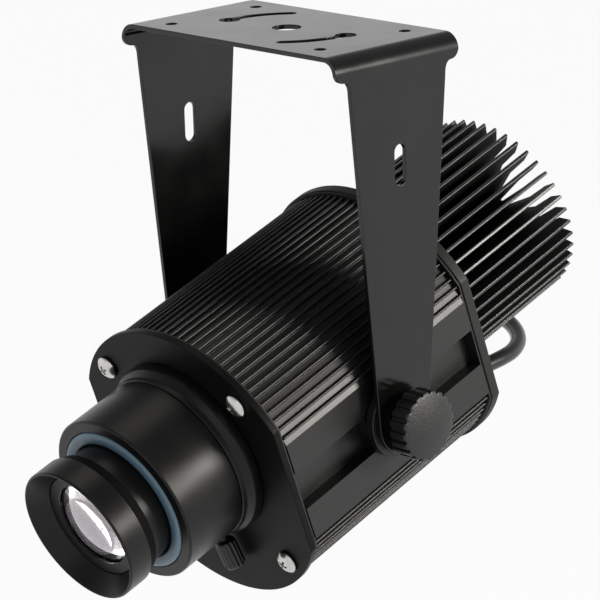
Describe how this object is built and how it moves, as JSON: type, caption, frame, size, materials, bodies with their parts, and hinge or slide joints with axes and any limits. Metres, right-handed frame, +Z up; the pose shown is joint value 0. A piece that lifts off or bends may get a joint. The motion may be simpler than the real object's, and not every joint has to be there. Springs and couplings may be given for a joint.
{
  "type": "gobo projector",
  "caption": "Round ribbed projector that throws the image of a glass gobo, tilting in a folded steel yoke for ceiling or wall fixing, with a finned heat sink.",
  "frame": {"origin": "middle of the yoke plate's top face, where the projector is fixed to a ceiling or bar", "axes": "+X along the tilt pivot, +Y from the lens to the heat sink seen from above, +Z up out of the yoke plate"},
  "size_m": [0.1865, 0.2978, 0.2645],
  "materials": {
    "yoke_paint": "satin black powder coat",
    "anodised_black": "satin black anodised",
    "plate_paint": "fine textured black paint",
    "gasket_rubber": "matte",
    "stainless": "bright stainless",
    "black_plastic": "fine grained",
    "lens_glass": "polished, purple coating",
    "print_glass": "printed glass",
    "blue_silicone": "translucent blue",
    "bare_aluminium": "machined",
    "board_white": "white solder mask",
    "phosphor": "yellow silicone dome",
    "cable_jacket": "satin",
    "brass": "bright"
  },
  "bodies": {
    "yoke": {"yoke_bracket": "yoke_paint"},
    "projector": {"collar_nut": "bare_aluminium", "condenser_front": "lens_glass", "condenser_rear": "lens_glass", "condenser_ring": "black_plastic", "condenser_spacer": "black_plastic", "cord_coil": "cable_jacket", "cord_lead": "cable_jacket", "cord_tie": "gasket_rubber", "driver": "bare_aluminium", "front_gasket": "gasket_rubber", "front_plate": "plate_paint", "front_screw_1": "stainless", "front_screw_2": "stainless", "front_screw_3": "stainless", "front_screw_4": "stainless", "gland_body": "black_plastic", "gland_nut": "black_plastic", "heat_sink": "anodised_black", "housing": "anodised_black", "lamp_tube": "bare_aluminium", "led_board": "board_white", "led_emitter": "phosphor", "led_wire": "gasket_rubber", "lens_collar": "anodised_black", "mains_wire": "gasket_rubber", "pivot_spacer_left": "black_plastic", "pivot_spacer_right": "black_plastic", "pivot_stud_left": "stainless", "pivot_stud_right": "stainless", "plug_blade_live": "brass", "plug_blade_neutral": "brass", "plug_body": "cable_jacket", "plug_pin_earth": "brass", "rear_gasket": "gasket_rubber", "rear_plate": "plate_paint", "rear_screw_1": "stainless", "rear_screw_2": "stainless", "rear_screw_3": "stainless", "rear_screw_4": "stainless", "sink_screw_1": "stainless", "sink_screw_2": "stainless", "sink_screw_3": "stainless", "slide_block_left": "anodised_black", "slide_block_right": "anodised_black"},
    "knob_right": {"knob_right": "black_plastic"},
    "knob_left": {"knob_left": "black_plastic"},
    "lock_screw": {"lock_screw": "black_plastic"},
    "barrel": {"lens_barrel": "anodised_black", "seal_ring": "blue_silicone", "gobo_holder": "bare_aluminium", "gobo_disc": "print_glass", "gobo_retainer": "black_plastic"},
    "focus": {"focus_tube": "anodised_black", "lens_hood": "anodised_black", "front_lens": "lens_glass", "lens_retainer": "anodised_black", "rear_lens": "lens_glass", "rear_lens_ring": "anodised_black"}
  },
  "joints": [
    {"name": "tilt", "type": "hinge", "parent": "yoke", "child": "projector", "pos_m": [0, 0, -0.1593], "axis": [1, 0, 0], "range_deg": [-64, 71]},
    {"name": "knob_right_turn", "type": "hinge", "parent": "projector", "child": "knob_right", "pos_m": [0.07, 0, -0.1593], "axis": [1, 0, 0], "continuous": true},
    {"name": "knob_left_turn", "type": "hinge", "parent": "projector", "child": "knob_left", "pos_m": [-0.07, 0, -0.1593], "axis": [-1, 0, 0], "continuous": true},
    {"name": "barrel_turn", "type": "hinge", "parent": "projector", "child": "barrel", "pos_m": [0, -0.08853, -0.1787], "axis": [0, 0.9447, 0.3278], "continuous": true},
    {"name": "focus_slide", "type": "slide", "parent": "barrel", "child": "focus", "axis": [0, 0.9447, 0.3278], "range_m": [-0.008, 0.004]},
    {"name": "lock_screw_turn", "type": "hinge", "parent": "projector", "child": "lock_screw", "pos_m": [0.00958, -0.05195, -0.21794], "axis": [0.1916, 0.3218, -0.9272], "continuous": true}
  ]
}
